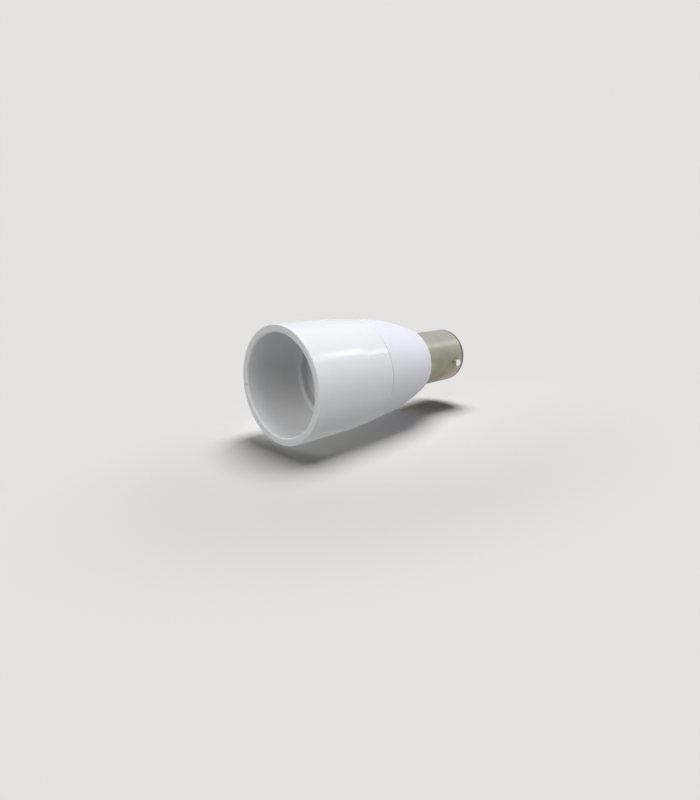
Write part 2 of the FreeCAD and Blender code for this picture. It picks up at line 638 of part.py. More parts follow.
# Eyelets in the disc, with a solder dome on each
eyelets = []
tips = []
for name, way in (("live", ""), ("neutral", "-")):
    eyelet = new_body("contact_eyelet_" + name)
    turned(eyelet, "eyelet_" + name, [
        ("eyelet_bore", "disc_seat"),
        ("eyelet_radius", "disc_seat"),
        ("eyelet_radius", "disc_face"),
        ("eyelet_head_radius", "disc_face"),
        ("eyelet_head_radius", "disc_face + eyelet_head / 2"),
        ("eyelet_head_radius - eyelet_head / 2", "eyelet_top", "eyelet_head / 2"),
        ("eyelet_bore", "eyelet_top"),
    ])
    eyelet.setExpression("Placement.Base.x", bound(way + "contact_offset"))
    eyelets.append(eyelet)
    # the dome is the top of a ball: solder_radius wide where it leaves the eyelet
    ball = doc.addObject("Part::Sphere", "tip_ball_" + name)
    ball.setExpression("Radius", bound("dome_ball"))
    ball.setExpression("Placement.Base.x", bound(way + "contact_offset"))
    ball.setExpression("Placement.Base.z", bound("eyelet_top + solder_height - dome_ball"))
    slab = box("tip_slab_" + name, (way + "contact_offset - solder_radius", "-solder_radius", "eyelet_top"),
               "2 * solder_radius", "2 * solder_radius", "2 * solder_height")
    dome = doc.addObject("Part::Common", "tip_dome_" + name)
    dome.Base = ball
    dome.Tool = slab
    tip = doc.addObject("Part::Cut", "tip_solder_" + name)
    tip.Base = dome
    tip.Tool = wires[name]
    tips.append(tip)

# Solder joints behind the insert: one on the leaf's foot, one on the foot of the screw shell's tab
leaf_ball = doc.addObject("Part::Sphere", "leaf_ball")
leaf_ball.setExpression("Radius", bound("joint_radius"))
leaf_ball.setExpression("Placement.Base.x", bound("leaf_end"))
leaf_ball.setExpression("Placement.Base.z", bound("leaf_rear"))
leaf_solder = doc.addObject("Part::Cut", "leaf_solder")
leaf_solder.Base = leaf_ball
leaf_solder.Tool = contact_leaf
tab_ball = doc.addObject("Part::Sphere", "tab_ball")
tab_ball.setExpression("Radius", bound("joint_radius"))
tab_ball.setExpression("Placement.Base.y", bound("tab_end + joint_shift"))
tab_ball.setExpression("Placement.Base.z", bound("foot_rear + joint_lift"))
tab_slab = box("tab_slab", ("-joint_radius", "tab_end + joint_shift - joint_radius", "foot_rear"),
               "2 * joint_radius", "2 * joint_radius", "joint_lift + joint_radius")
tab_dome = doc.addObject("Part::Common", "tab_dome")
tab_dome.Base = tab_ball
tab_dome.Tool = tab_slab
tab_solder = doc.addObject("Part::Cut", "tab_solder")
tab_solder.Base = tab_dome
tab_solder.Tool = wires["neutral"]
doc.recompute()

nodes = [front_housing, rear_bell, socket_core, screw_shell, contact_leaf, leaf_solder, tab_solder,
         *wires.values(), bayonet_shell, *bayonet_pins, cap_insulator, *eyelets, *tips]
failed = [item.Name for item in doc.Objects if {"Invalid", "Error"} & set(item.State)]
if failed:
    raise RuntimeError("failed objects: " + ", ".join(failed))
for node in nodes:
    if node.Shape.isNull() or not node.Shape.isValid() or not node.Shape.Solids:
        raise RuntimeError(node.Label + " has no valid solid")
os.makedirs("parts", exist_ok=True)
for node in nodes:
    node.Shape.exportStep(os.path.join("parts", node.Label + ".step"))
    print(node.Label, len(node.Shape.Solids), "solid,", round(node.Shape.Volume, 1), "mm3")
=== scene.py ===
import math

import bmesh
import bpy
from mathutils import Matrix, Vector
from mathutils.bvhtree import BVHTree


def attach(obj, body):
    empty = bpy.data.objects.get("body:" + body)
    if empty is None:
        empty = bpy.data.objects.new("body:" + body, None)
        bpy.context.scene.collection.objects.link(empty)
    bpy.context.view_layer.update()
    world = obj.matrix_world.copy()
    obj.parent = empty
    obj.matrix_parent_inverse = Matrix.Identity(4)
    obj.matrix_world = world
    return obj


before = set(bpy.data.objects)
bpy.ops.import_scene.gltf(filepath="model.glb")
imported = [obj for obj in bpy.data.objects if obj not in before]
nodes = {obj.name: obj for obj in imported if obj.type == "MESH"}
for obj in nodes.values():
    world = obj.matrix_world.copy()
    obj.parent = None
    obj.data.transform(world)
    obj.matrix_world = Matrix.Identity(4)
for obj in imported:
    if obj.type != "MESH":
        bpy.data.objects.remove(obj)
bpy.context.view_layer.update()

mm = 0.001
print("frame loaded:", len(nodes), "nodes")


def hexLinear(code):  # sRGB hex to linear
    parts = [int(code[start:start + 2], 16) / 255 for start in (1, 3, 5)]
    return tuple(p / 12.92 if p <= 0.04045 else ((p + 0.055) / 1.055) ** 2.4 for p in parts) + (1.0,)


def addNode(tree, kind, settings=None, links=None):  # one node with its settings and its links
    node = tree.nodes.new(kind)
    for name, setting in (settings or {}).items():
        if isinstance(name, int) or name in node.inputs:
            node.inputs[name].default_value = setting
        else:
            setattr(node, name, setting)
    for name, source in (links or {}).items():
        tree.links.new(source, node.inputs[name])
    return node


def newMaterial(name):
    material = bpy.data.materials.new(name)
    material.use_nodes = True
    tree = material.node_tree
    tree.nodes.clear()
    return material, tree


def perMetre(sizeInMm):  # texture scale that gives features of this size
    return 1 / (sizeInMm * mm)


def polar(azimuth, radius, height):  # degrees and mm, as a point in metres
    turn = math.radians(azimuth)
    return Vector((radius * math.cos(turn), radius * math.sin(turn), height)) * mm


def spotMask(tree, place, centre, size, edge):  # 1 inside a round spot, 0 outside
    away = addNode(tree, "ShaderNodeVectorMath", {"operation": "DISTANCE", 1: tuple(centre)}, {0: place})
    return addNode(tree, "ShaderNodeMapRange", {"From Min": size * mm, "From Max": (size - edge) * mm},
                   {"Value": away.outputs["Value"]}).outputs["Result"]


def ringMask(tree, place, ring):  # 1 in a ring round the axis, soft over its edge, 0 beyond
    along = addNode(tree, "ShaderNodeSeparateXYZ", None, {0: place}).outputs["Z"]
    away = addNode(tree, "ShaderNodeMath", {"operation": "SUBTRACT", 1: ring["height"] * mm}, {0: along})
    away = addNode(tree, "ShaderNodeMath", {"operation": "ABSOLUTE"}, {0: away.outputs[0]})
    mask = addNode(tree, "ShaderNodeMapRange",
                   {"From Min": (ring["half"] + ring["edge"]) * mm, "From Max": ring["half"] * mm},
                   {"Value": away.outputs[0]})
    if "inside" in ring:         # only where the surface is nearer to the axis than this
        flat = addNode(tree, "ShaderNodeVectorMath", {"operation": "MULTIPLY", 1: (1, 1, 0)}, {0: place})
        reach = addNode(tree, "ShaderNodeVectorMath", {"operation": "LENGTH"}, {0: flat.outputs[0]})
        limit = ring["inside"] * mm
    elif "round" in ring:        # only round a point
        reach = addNode(tree, "ShaderNodeVectorMath",
                        {"operation": "DISTANCE", 1: tuple(ring["round"])}, {0: place})
        limit = ring["reachMm"] * mm
    else:
        return mask.outputs["Result"]
    within = addNode(tree, "ShaderNodeMapRange",
                     {"From Min": limit, "From Max": limit - ring["fadeMm"] * mm},
                     {"Value": reach.outputs["Value"]})
    return addNode(tree, "ShaderNodeMath", {"operation": "MULTIPLY"},
                   {0: mask.outputs["Result"], 1: within.outputs["Result"]}).outputs[0]


# Specks at a point (centre, size and soft edge in mm, amount) and darker rings round the axis, some of them
# painted shade
def addMarks(tree, place, tone, look):
    masks = [(spotMask(tree, place, centre, size, edge), amount, look["markColour"])
             for centre, size, edge, amount in look.get("marks", ())]
    masks += [(ringMask(tree, place, ring), ring["amount"], ring["colour"])
              for ring in look.get("rings", ())]
    for mask, amount, colour in masks:
        faded = addNode(tree, "ShaderNodeMath", {"operation": "MULTIPLY", 1: amount}, {0: mask})
        tone = addNode(tree, "ShaderNodeMix", {"data_type": "RGBA", 7: hexLinear(colour)},
                       {0: faded.outputs[0], 6: tone.outputs[2]})
    return tone


# Camera and lamps stand as in the photo, where the adapter lies on its sleeve. Sizes in mm, model frame.
photo = {
    "floorNormal": (0.9927, -0.1208, 0.0),
    "floorDepth": 14.08,          # axis to the floor it lies on
    "camera": (40.63, 98.09, -78.72),
    "aim": (-16.30, -17.59, 42.26),
    "lens": 25.915,
    "sensor": 36,
    "nearest": 5,                 # nearest and farthest that the camera sees
    "farthest": 10000,
}
upWay = Vector(photo["floorNormal"]).normalized()
alongWay = Vector((0, 0, 1))
nearWay = alongWay.cross(upWay).normalized()     # across the axis, towards the camera


def stand(item, position, aim, up):  # places a lamp or camera and turns it to its aim
    back = (position - aim).normalized()
    right = up.cross(back).normalized()
    turned = Matrix((right, back.cross(right), back)).transposed().to_4x4()
    item.matrix_world = Matrix.Translation(position) @ turned


camera = bpy.data.objects.new("camera", bpy.data.cameras.new("camera"))
bpy.context.scene.collection.objects.link(camera)
camera.data.lens = photo["lens"]
camera.data.sensor_width = photo["sensor"]
camera.data.clip_start = photo["nearest"] * mm
camera.data.clip_end = photo["farthest"] * mm
stand(camera, Vector(photo["camera"]) * mm, Vector(photo["aim"]) * mm, upWay)
bpy.context.scene.camera = camera
bpy.context.scene.view_settings.view_transform = "Standard"

# Lamps. "from" and "aim" are metres up, near and along from the middle of the adapter, and what a lamp
# doesn't say is as in plainLamp. One that isn't "mirrored" lights without showing in the gloss. "on" names
# what it lights: the floors have lamps of their own, so that each keeps its plain tone, and the lamps called
# Bounce give what a pale floor would throw back on the adapter.
plainLamp = {"aim": (0, 0, 0), "size": (0.25, 0.25), "tint": "#FFFFFF", "mirrored": False, "on": "adapter"}
coolWhite = "#F1F5FF"
warmWhite = "#FFFDFA"
lamps = {
    # soft sheen along the top, and the bright streaks on sleeve and band
    "ceilingPanel": {"from": (0.35, -0.10, 0.15), "aim": (0.0, -0.10, 0.15), "size": (0.60, 0.90),
                     "watts": 0.30, "tint": coolWhite, "mirrored": True},
    "streakLamp": {"from": (0.312, 0.222, 0.345), "size": (0.08, 0.045), "watts": 0.068,
                   "mirrored": True, "on": "plastic"},
    "bandStreakLamp": {"from": (0.235, 0.200, 0.390), "size": (0.05, 0.035), "watts": 0.03,
                       "mirrored": True, "on": "plastic"},
    # the light that models the form, from above, from the camera's side and into the mouth
    "topSoftbox": {"from": (0.40, 0.0, 0.0), "watts": 0.54, "tint": coolWhite},
    "highSoftbox": {"from": (0.37, 0.15, 0.0), "watts": 0.47, "tint": coolWhite},
    "nearSoftbox": {"from": (0.05, 0.40, 0.0), "watts": 0.63},
    "mouthSoftbox": {"from": (0.27, 0.03, -0.295), "watts": 0.68, "tint": warmWhite},
    # cap end, with the bright strip along the metal
    "capSoftbox": {"from": (0.08, 0.0, 0.39), "size": (0.20, 0.20), "watts": 0.60},
    "capStrip": {"from": (0.217, 0.118, 0.342), "aim": (0, 0, 0.025), "size": (0.05, 0.22), "watts": 0.045,
                 "mirrored": True, "on": "metal"},
    # fill on the sides that the photo doesn't show
    "farSoftbox": {"from": (0.10, -0.38, 0.0), "watts": 0.70},
    "underSoftbox": {"from": (-0.30, -0.27, 0.0), "size": (0.30, 0.30), "watts": 0.8},
    # thrown back by the floor
    "nearBounce": {"from": (-0.014, 0.065, 0.01), "aim": (0.1, 0.065, 0.01), "size": (0.10, 0.16),
                   "watts": 0.004},
    "farBounce": {"from": (-0.014, -0.065, 0.01), "aim": (0.1, -0.065, 0.01), "size": (0.10, 0.16),
                  "watts": 0.004},
    "frontBounce": {"from": (-0.075, 0.02, -0.12), "aim": (0.0, 0.0, -0.03), "size": (0.16, 0.10),
                    "watts": 0.034},
    # the lying floor's own, which also cast the adapter's shadow on it
    "floorTop": {"from": (0.37, -0.085, 0.12), "size": (0.20, 0.20), "watts": 1.78, "on": "lying_floor"},
    "floorFront": {"from": (0.24, 0.155, -0.30), "aim": (0, 0, 0.04), "size": (0.22, 0.22), "watts": 0.19,
                   "on": "lying_floor"},
}
lampMiddle = Vector((0, 0, 30)) * mm
linked = {target: bpy.data.collections.new(target + "_light")
          for target in ("adapter", "plastic", "metal", "lying_floor", "standing_floor")}


def fromMiddle(steps):
    up, near, along = steps
    return lampMiddle + upWay * up + nearWay * near + alongWay * along


def addLamp(name, lamp, position, aim, up):
    light = bpy.data.lights.new(name, "AREA")
    light.shape = "RECTANGLE"
    light.size, light.size_y = lamp["size"]
    light.energy = lamp["watts"]
    light.color = hexLinear(lamp["tint"])[:3]
    item = bpy.data.objects.new(name, light)
    bpy.context.scene.collection.objects.link(item)
    item.visible_glossy = lamp["mirrored"]
    item.visible_camera = False
    item.light_linking.receiver_collection = linked[lamp["on"]]
    stand(item, position, aim, up)


for name, settings in lamps.items():
    lamp = {**plainLamp, **settings}
    addLamp(name, lamp, fromMiddle(lamp["from"]), fromMiddle(lamp["aim"]), alongWay)
standingLamp = {**plainLamp, "at": (0.05, -0.05, 0.45), "size": (0.30, 0.30), "watts": 1.95,
                "on": "standing_floor"}          # stands in the model frame, above the standing adapter
addLamp("standingFloorLamp", standingLamp, Vector(standingLamp["at"]), Vector(standingLamp["aim"]), upWay)

# Backdrop: a plain tone that camera, gloss and clear things see, and that lights nothing
backdropTone = "#E4E3E1"
world = bpy.data.worlds.new("softStudio")
world.use_nodes = True
bpy.context.scene.world = world
tree = world.node_tree
tree.nodes.clear()
ray = addNode(tree, "ShaderNodeLightPath")
seen = addNode(tree, "ShaderNodeMath", {"operation": "MAXIMUM"},
               {0: ray.outputs["Is Camera Ray"], 1: ray.outputs["Is Glossy Ray"]})
seen = addNode(tree, "ShaderNodeMath", {"operation": "MAXIMUM"},
               {0: seen.outputs[0], 1: ray.outputs["Is Transmission Ray"]})
plain = addNode(tree, "ShaderNodeBackground", {"Color": hexLinear(backdropTone)},
                {"Strength": seen.outputs[0]})
addNode(tree, "ShaderNodeOutputWorld", None, {"Surface": plain.outputs[0]})
print("camera, lamps and backdrop stand")


# Floors, of matt paper: a pale tone with no gloss at all. One lies along the sleeve as in the photo, one
# carries the adapter where it stands on its mouth. Both show from their front only, and turn into the
# backdrop's tone a little way out.
def paleFloor(name, look):
    material, tree = newMaterial(name)
    place = addNode(tree, "ShaderNodeTexCoord").outputs["Object"]
    ray = addNode(tree, "ShaderNodeLightPath")
    face = addNode(tree, "ShaderNodeNewGeometry")
    grain = addNode(tree, "ShaderNodeTexNoise", {"Scale": perMetre(look["grainMm"]), "Detail": 2.0},
                    {"Vector": place})
    tone = addNode(tree, "ShaderNodeMix", {"data_type": "RGBA", 6: hexLinear(look["tone"]),
                                           7: hexLinear(look["grainTone"])}, {0: grain.outputs["Fac"]})
    paper = addNode(tree, "ShaderNodeBsdfDiffuse", None, {"Color": tone.outputs[2]})
    beyond = addNode(tree, "ShaderNodeEmission", {"Color": hexLinear(backdropTone), "Strength": 1.0})
    stretched = addNode(tree, "ShaderNodeVectorMath", {"operation": "MULTIPLY", 1: look["stretch"]},
                        {0: place})
    away = addNode(tree, "ShaderNodeVectorMath", {"operation": "LENGTH"}, {0: stretched.outputs[0]})
    fade = addNode(tree, "ShaderNodeMapRange",
                   {"interpolation_type": "SMOOTHERSTEP", "From Min": look["solidMm"] * mm,
                    "From Max": look["goneMm"] * mm}, {"Value": away.outputs["Value"]})
    fade = addNode(tree, "ShaderNodeMath", {"operation": "MULTIPLY"},
                   {0: fade.outputs[0], 1: ray.outputs["Is Camera Ray"]})
    inGloss = addNode(tree, "ShaderNodeMath", {"operation": "MULTIPLY", 1: look["plainInGloss"]},
                      {0: ray.outputs["Is Glossy Ray"]})
    fade = addNode(tree, "ShaderNodeMath", {"operation": "MAXIMUM"},
                   {0: fade.outputs[0], 1: inGloss.outputs[0]})
    shown = addNode(tree, "ShaderNodeMixShader", None,
                    {0: fade.outputs[0], 1: paper.outputs[0], 2: beyond.outputs[0]})
    clear = addNode(tree, "ShaderNodeBsdfTransparent")
    if look["onlyForCamera"]:    # every other ray goes through the floor
        unseen = addNode(tree, "ShaderNodeMath", {"operation": "SUBTRACT", 0: 1.0},
                         {1: ray.outputs["Is Camera Ray"]}).outputs[0]
    else:                        # lamps beyond the floor light the adapter through it
        unseen = ray.outputs["Is Shadow Ray"]
    hidden = addNode(tree, "ShaderNodeMath", {"operation": "MAXIMUM"},
                     {0: unseen, 1: face.outputs["Backfacing"]})
    mixed = addNode(tree, "ShaderNodeMixShader", None,
                    {0: hidden.outputs[0], 1: shown.outputs[0], 2: clear.outputs[0]})
    addNode(tree, "ShaderNodeOutputMaterial", None, {"Surface": mixed.outputs[0]})
    return material


floorHalf = 0.8                  # metres, from its middle to its sides


def floorPlane(name, middle, across, along, normal):
    corners = [middle + across * (a * floorHalf) + along * (b * floorHalf)
               for a, b in ((-1, -1), (1, -1), (1, 1), (-1, 1))]
    if (corners[1] - corners[0]).cross(corners[2] - corners[1]).dot(normal) < 0:
        corners.reverse()
    mesh = bpy.data.meshes.new(name)
    mesh.from_pydata([corner - middle for corner in corners], [], [(0, 1, 2, 3)])
    item = bpy.data.objects.new(name, mesh)
    item.location = middle
    bpy.context.scene.collection.objects.link(item)
    linked[name].objects.link(item)
    return item


# Paper fibres are near 0.1 mm, and drawn at 0.6 mm so that they show. Up to solidMm from its middle a floor
# is all paper, and past goneMm all backdrop; stretch makes that patch longer where it is less than 1.
paperLook = {"tone": "#E5E4E2", "grainTone": "#E2E1DF", "grainMm": 0.6}
lyingLook = {
    **paperLook, "middleNear": 18, "middleAlong": 28, "stretch": (1, 1, 0.6), "solidMm": 22, "goneMm": 60,
    "plainInGloss": 0.5,         # share of the backdrop's tone that gloss sees instead of the floor
    "onlyForCamera": False,
}
standingLook = {
    **paperLook, "belowMm": 0.02, "stretch": (1, 1, 1), "solidMm": 16, "goneMm": 38, "plainInGloss": 0.0,
    "onlyForCamera": True,
}
lyingFloor = floorPlane("lying_floor",
                        (-upWay * photo["floorDepth"] + nearWay * lyingLook["middleNear"]) * mm
                        + alongWay * lyingLook["middleAlong"] * mm, nearWay, alongWay, upWay)
lyingFloor.visible_diffuse = False               # the lamps called Bounce stand in for its light
lyingFloor.data.materials.append(paleFloor("pale paper floor, lying", lyingLook))
standingFloor = floorPlane("standing_floor", Vector((0, 0, -standingLook["belowMm"])) * mm,
                           Vector((1, 0, 0)), Vector((0, 1, 0)), alongWay)
standingFloor.data.materials.append(paleFloor("pale paper floor, standing", standingLook))
print("floors laid")

# Noise from 0 to 1 is cut to these parts of its range: where a pattern begins, and where it is full
speckPart = (0.66, 0.78)
stainPart = (0.08, 0.44)         # of two noises multiplied
filmPart = (0.32, 0.68)
tarnishAndShadeFall = (0.35, 1.4)          # share of the tarnish and painted dark reflection far from its centre, and at it
sharpFrom = 28                   # degrees between two faces from which their edge stays sharp


# Plastics and the like: a skin of one colour that is never quite flat (clouds, specks), with slow sink waves
# and a fine grain in its reflections
def mouldedPlastic(name, look):
    material, tree = newMaterial(name)
    place = addNode(tree, "ShaderNodeTexCoord").outputs["Object"]
    cloud = addNode(tree, "ShaderNodeTexNoise", {"Scale": perMetre(look["cloudMm"]), "Detail": 3.0},
                    {"Vector": place})
    speck = addNode(tree, "ShaderNodeTexNoise", {"Scale": perMetre(look["speckMm"]), "Detail": 2.0},
                    {"Vector": place})
    sink = addNode(tree, "ShaderNodeTexNoise", {"Scale": perMetre(look["sinkMm"]), "Detail": 1.0},
                   {"Vector": place})
    grain = addNode(tree, "ShaderNodeTexNoise", {"Scale": perMetre(look["grainMm"]), "Detail": 2.0},
                    {"Vector": place})
    tone = addNode(tree, "ShaderNodeMix", {"data_type": "RGBA", 6: hexLinear(look["colour"]),
                                           7: hexLinear(look["cloudColour"])}, {0: cloud.outputs["Fac"]})
    dots = addNode(tree, "ShaderNodeMapRange",
                   {"From Min": speckPart[0], "From Max": speckPart[1], "To Max": look["speckAmount"]},
                   {"Value": speck.outputs["Fac"]})
    tone = addNode(tree, "ShaderNodeMix", {"data_type": "RGBA", 7: hexLinear(look["speckColour"])},
                   {0: dots.outputs[0], 6: tone.outputs[2]})
    tone = addMarks(tree, place, tone, look)
    rough = addNode(tree, "ShaderNodeMapRange",
                    {"To Min": look["roughness"][0], "To Max": look["roughness"][1]},
                    {"Value": cloud.outputs["Fac"]})
    wave = addNode(tree, "ShaderNodeBump", {"Strength": 1.0, "Distance": look["sinkDepthMm"] * mm},
                   {"Height": sink.outputs["Fac"]})
    if "shoulder" in look:       # the skin bends in a hair before the step, which cuts the gloss off there
        bend = look["shoulder"]
        along = addNode(tree, "ShaderNodeSeparateXYZ", None, {0: place}).outputs["Z"]
        fall = addNode(tree, "ShaderNodeMapRange",
                       {"From Min": bend["to"] * mm, "From Max": bend["from"] * mm}, {"Value": along})
        wave = addNode(tree, "ShaderNodeBump", {"Strength": 1.0, "Distance": bend["dropMm"] * mm},
                       {"Height": fall.outputs["Result"], "Normal": wave.outputs[0]})
    skin = addNode(tree, "ShaderNodeBump", {"Strength": 1.0, "Distance": look["grainDepthMm"] * mm},
                   {"Height": grain.outputs["Fac"], "Normal": wave.outputs[0]})
    shader = addNode(tree, "ShaderNodeBsdfPrincipled", {"IOR": look["ior"], "Metallic": 0.0},
                     {"Base Color": tone.outputs[2], "Roughness": rough.outputs[0],
                      "Normal": skin.outputs[0]})
    addNode(tree, "ShaderNodeOutputMaterial", None, {"Surface": shader.outputs[0]})
    return material


# Plated and bare metals: a cloudy skin of tarnish, and fine lines from how the piece was drawn, rolled or
# turned, which stretch its reflections. linePull draws the lines out where it is less than 1.
def workedMetal(name, look):
    material, tree = newMaterial("metal, " + name)
    place = addNode(tree, "ShaderNodeTexCoord").outputs["Object"]
    pulled = addNode(tree, "ShaderNodeVectorMath", {"operation": "MULTIPLY", 1: look["linePull"]},
                     {0: place})
    lines = addNode(tree, "ShaderNodeTexNoise", {"Scale": perMetre(look["lineMm"]), "Detail": 3.0},
                    {"Vector": pulled.outputs[0]})
    cloud = addNode(tree, "ShaderNodeTexNoise", {"Scale": perMetre(look["cloudMm"]), "Detail": 4.0},
                    {"Vector": place})
    fine = addNode(tree, "ShaderNodeTexNoise", {"Scale": perMetre(look["mottleMm"]), "Detail": 3.0},
                   {"Vector": place})
    both = addNode(tree, "ShaderNodeMath", {"operation": "MULTIPLY"},
                   {0: cloud.outputs["Fac"], 1: fine.outputs["Fac"]})
    tarnishAndShade = addNode(tree, "ShaderNodeMapRange",
                    {"From Min": stainPart[0], "From Max": stainPart[1],
                     "To Min": look.get("evenTarnish", 0.0), "To Max": look["tarnish"]},
                    {"Value": both.outputs[0]})
    # thicker tarnish round one point; on the cap this is also a painted dark reflection of the shadowed floor
    if "tarnishAndShadeCentre" in look:
        side = addNode(tree, "ShaderNodeVectorMath",
                       {"operation": "DISTANCE", 1: tuple(look["tarnishAndShadeCentre"])}, {0: place})
        near = addNode(tree, "ShaderNodeMapRange",
                       {"From Min": look["tarnishAndShadeReachMm"] * mm, "From Max": 0.0,
                        "To Min": tarnishAndShadeFall[0], "To Max": tarnishAndShadeFall[1]}, {"Value": side.outputs["Value"]})
        tarnishAndShade = addNode(tree, "ShaderNodeMath", {"operation": "MULTIPLY", "use_clamp": True},
                        {0: tarnishAndShade.outputs[0], 1: near.outputs[0]})
    tone = addNode(tree, "ShaderNodeMix", {"data_type": "RGBA", 6: hexLinear(look["colour"]),
                                           7: hexLinear(look["tarnishColour"])}, {0: tarnishAndShade.outputs[0]})
    if "patina" in look:         # thin film on the plate, which turns it cool or straw by a hair
        film = look["patina"]
        spots = addNode(tree, "ShaderNodeTexNoise", {"Scale": perMetre(film["spotMm"]), "Detail": 2.0},
                        {"Vector": place})
        turned = addNode(tree, "ShaderNodeMapRange", {"From Min": filmPart[0], "From Max": filmPart[1]},
                         {"Value": spots.outputs["Fac"]})
        hue = addNode(tree, "ShaderNodeMix", {"data_type": "RGBA", 6: hexLinear(film["cool"]),
                                              7: hexLinear(film["straw"])}, {0: turned.outputs["Result"]})
        tone = addNode(tree, "ShaderNodeMix",
                       {"data_type": "RGBA", "blend_type": "MULTIPLY", 0: film["amount"]},
                       {6: tone.outputs[2], 7: hue.outputs[2]})
    tone = addMarks(tree, place, tone, look)
    rough = addNode(tree, "ShaderNodeMapRange",
                    {"To Min": look["roughness"][0], "To Max": look["roughness"][1]},
                    {"Value": lines.outputs["Fac"]})
    skin = addNode(tree, "ShaderNodeBump", {"Strength": 1.0, "Distance": look["lineDepthMm"] * mm},
                   {"Height": lines.outputs["Fac"]})
    shader = addNode(tree, "ShaderNodeBsdfPrincipled", {"Metallic": 1.0},
                     {"Base Color": tone.outputs[2], "Roughness": rough.outputs[0],
                      "Normal": skin.outputs[0]})
    addNode(tree, "ShaderNodeOutputMaterial", None, {"Surface": shader.outputs[0]})
    return material


def dress(nodeNames, material):
    for name in nodeNames:
        item = nodes[name]
        linked["adapter"].objects.link(item)
        linked["metal" if "metal" in material.name else "plastic"].objects.link(item)
        item.data.materials.clear()
        item.data.materials.append(material)
        item.data.shade_smooth()
        item.data.set_sharp_from_angle(angle=math.radians(sharpFrom))


# A pixel of the photo's view is 0.2 to 0.3 mm of the adapter. What is finer in the real materials is drawn
# near that or wider, as the notes say, so that it shows there or in a nearer view.

# Sleeve: PBT moulded in a polished tool. Wet-looking gloss with hard-edged streaks, an almost even white,
# and reflections that waver where the wall sank. Specks of 0.1 mm are drawn up to 0.9 mm so that they show.
sleeveLook = {
    "colour": "#ECEDEE", "cloudColour": "#E8E9EC", "speckColour": "#D5D6D6", "markColour": "#6E6A66",
    "cloudMm": 14.0, "speckMm": 0.9, "speckAmount": 0.35, "sinkMm": 6.0, "sinkDepthMm": 0.003,
    "grainMm": 0.5, "grainDepthMm": 0.0006, "roughness": (0.15, 0.2), "ior": 1.54,
    # two specks at the seam, one nick on the rim
    "marks": [(polar(48.5, 13.4, 24.4), 0.28, 0.12, 0.9), (polar(57.5, 13.4, 24.4), 0.2, 0.12, 0.45),
              (polar(256, 12.8, 0), 0.45, 0.3, 0.4)],
    # a darker line in the seam over the side round azimuth 35°, and painted shade on the wall of the recess
    # behind the bore's ledge
    "rings": [{"height": 24.5, "half": 0.13, "edge": 0.1, "amount": 0.75, "colour": "#7D766E",
               "round": polar(35, 13.4, 24.5), "reachMm": 21, "fadeMm": 7},
              {"height": 16.8, "half": 0.8, "edge": 0.2, "amount": 0.25, "colour": "#8A8784",
               "inside": 11.4, "fadeMm": 0.4}],
    "shoulder": {"from": 15.2, "to": 17.7, "dropMm": 0.16},
}
sleevePlastic = mouldedPlastic("gloss moulded PBT, white", sleeveLook)
dress(["front_housing"], sleevePlastic)

# Bell: PBT from a spark-eroded tool. Satin, so the light runs out over it with no edge, and a shade cooler
# than the sleeve. The tool's grain of 0.05 mm is drawn at 0.28 mm so that it shows.
bellLook = {
    "colour": "#E9EAF1", "cloudColour": "#E5E6EF", "speckColour": "#D2D3D8",
    "cloudMm": 16.0, "speckMm": 0.8, "speckAmount": 0.25, "sinkMm": 7.0, "sinkDepthMm": 0.008,
    "grainMm": 0.28, "grainDepthMm": 0.004, "roughness": (0.42, 0.5), "ior": 1.54,
    "rings": [{"height": 24.6, "half": 0.08, "edge": 0.1, "amount": 0.7, "colour": "#7D766E",
               "round": polar(35, 13.4, 24.5), "reachMm": 21, "fadeMm": 7}],
}
dress(["rear_bell"], mouldedPlastic("satin moulded PBT, cool white", bellLook))

# Insert: PBT from a plain machined tool. Matt and slightly chalky, with no clear reflection. Its grain of
# 0.05 mm is drawn at 0.25 mm so that it shows.
coreLook = {
    "colour": "#EBECEE", "cloudColour": "#E2E3E4", "speckColour": "#D0D0CE",
    "cloudMm": 8.0, "speckMm": 0.6, "speckAmount": 0.4, "sinkMm": 4.0, "sinkDepthMm": 0.006,
    "grainMm": 0.25, "grainDepthMm": 0.006, "roughness": (0.5, 0.62), "ior": 1.54,
}
dress(["socket_core"], mouldedPlastic("matt moulded PBT, off-white", coreLook))

# Disc: phenolic powder pressed hot. Near black with brown in it, a dull polish, and paler grains of filler,
# which are under 0.1 mm and drawn at 0.35 mm so that they show.
phenolicLook = {
    "colour": "#1A1614", "cloudColour": "#231D19", "speckColour": "#3A302A",
    "cloudMm": 4.0, "speckMm": 0.35, "speckAmount": 0.5, "sinkMm": 2.0, "sinkDepthMm": 0.004,
    "grainMm": 0.2, "grainDepthMm": 0.004, "roughness": (0.3, 0.42), "ior": 1.6,
}
dress(["cap_insulator"], mouldedPlastic("pressed phenolic, near black", phenolicLook))

# Wires: PVC extruded over the strands. A smooth, softly shining skin that swells and thins a little along
# the wire. Its grain of 0.05 mm is drawn at 0.2 mm so that it shows from near.
wireLook = {
    "colour": "#5B3220", "cloudColour": "#523019", "speckColour": "#6B4430",
    "cloudMm": 3.0, "speckMm": 0.5, "speckAmount": 0.2, "sinkMm": 1.0, "sinkDepthMm": 0.01,
    "grainMm": 0.2, "grainDepthMm": 0.002, "roughness": (0.35, 0.45), "ior": 1.53,
}
blueLook = {**wireLook, "colour": "#2C4F86", "cloudColour": "#27487C", "speckColour": "#3F63A0"}
dress(["live_wire"], mouldedPlastic("extruded PVC, brown", wireLook))
dress(["neutral_wire"], mouldedPlastic("extruded PVC, blue", blueLook))
print("plastics on")
